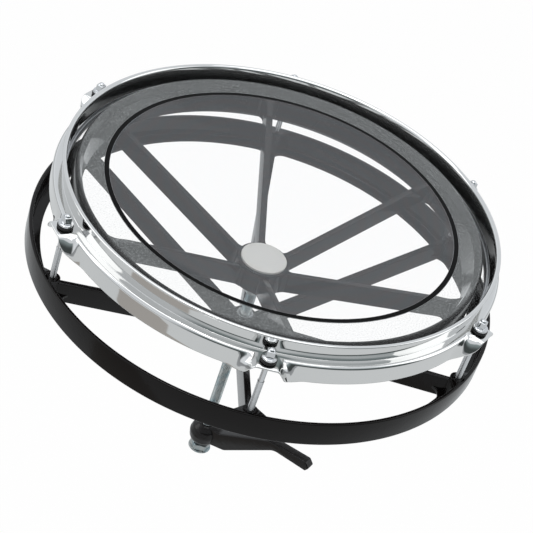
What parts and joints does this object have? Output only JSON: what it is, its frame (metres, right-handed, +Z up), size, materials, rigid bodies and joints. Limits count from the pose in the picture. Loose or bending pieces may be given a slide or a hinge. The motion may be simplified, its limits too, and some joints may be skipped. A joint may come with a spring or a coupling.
{
  "type": "rototom",
  "caption": "Rotating-tuned tom: clear head in a chrome hoop over two dished black cast frames on a threaded post, with a clamping lever at its foot.",
  "frame": {"origin": "centre of the post's foot", "axes": "+Z up the post through the head; +X towards one of the tension rods"},
  "size_m": [0.4156, 0.41, 0.3093],
  "materials": {
    "chrome_steel": "bright chrome plate",
    "zinc_steel": "bright zinc plate",
    "plain_steel": "plain steel",
    "black_paint": "gloss black paint over a casting",
    "black_nylon": "satin nylon",
    "grey_bush": "satin acetal",
    "cap_white": "satin off-white",
    "clear_film": "clear film with a hazy border outside a printed black ring"
  },
  "bodies": {
    "post": {"center_post": "zinc_steel", "retaining_ring": "plain_steel", "shoulder_nut": "zinc_steel", "thrust_washer": "zinc_steel", "spacer_washer": "zinc_steel", "flange_nut": "zinc_steel"},
    "drum": {"upper_frame": "black_paint", "thrust_bush": "grey_bush", "hub_cap": "cap_white", "head_film": "clear_film"},
    "cage": {"lower_frame": "black_paint", "thread_insert": "plain_steel", "counter_hoop": "chrome_steel", "flesh_hoop": "plain_steel", "rod_washer_1": "black_nylon", "rod_washer_2": "black_nylon", "rod_washer_3": "black_nylon", "rod_washer_4": "black_nylon", "rod_washer_5": "black_nylon", "rod_washer_6": "black_nylon"},
    "lever": {"clamp_lever": "black_paint"},
    "rod_1": {"tension_rod_1": "chrome_steel"},
    "rod_2": {"tension_rod_2": "chrome_steel"},
    "rod_3": {"tension_rod_3": "chrome_steel"},
    "rod_4": {"tension_rod_4": "chrome_steel"},
    "rod_5": {"tension_rod_5": "chrome_steel"},
    "rod_6": {"tension_rod_6": "chrome_steel"}
  },
  "joints": [
    {"name": "drum_spin", "type": "hinge", "parent": "post", "child": "drum", "pos_m": [0, 0, 0.2], "axis": [0, 0, 1], "range_deg": [-360, 360]},
    {"name": "cage_slide", "type": "slide", "parent": "drum", "child": "cage", "axis": [0, 0, 1], "range_m": [-0.0016, 0.0016]},
    {"name": "lever_spin", "type": "hinge", "parent": "post", "child": "lever", "pos_m": [0, 0, 0.025], "axis": [0, 0, 1], "range_deg": [-180, 180]},
    {"name": "rod_1_spin", "type": "hinge", "parent": "cage", "child": "rod_1", "pos_m": [0.1982, 0, 0.26], "axis": [0, 0, 1], "range_deg": [-180, 180]},
    {"name": "rod_2_spin", "type": "hinge", "parent": "cage", "child": "rod_2", "pos_m": [0.0991, 0.17165, 0.26], "axis": [0, 0, 1], "range_deg": [-180, 180]},
    {"name": "rod_3_spin", "type": "hinge", "parent": "cage", "child": "rod_3", "pos_m": [-0.0991, 0.17165, 0.26], "axis": [0, 0, 1], "range_deg": [-180, 180]},
    {"name": "rod_4_spin", "type": "hinge", "parent": "cage", "child": "rod_4", "pos_m": [-0.1982, 0, 0.26], "axis": [0, 0, 1], "range_deg": [-180, 180]},
    {"name": "rod_5_spin", "type": "hinge", "parent": "cage", "child": "rod_5", "pos_m": [-0.0991, -0.17165, 0.26], "axis": [0, 0, 1], "range_deg": [-180, 180]},
    {"name": "rod_6_spin", "type": "hinge", "parent": "cage", "child": "rod_6", "pos_m": [0.0991, -0.17165, 0.26], "axis": [0, 0, 1], "range_deg": [-180, 180]}
  ],
  "couplings": [
    {"joint": "cage_slide", "follows": "drum_spin", "m_per_rad": 0.00025266}
  ]
}
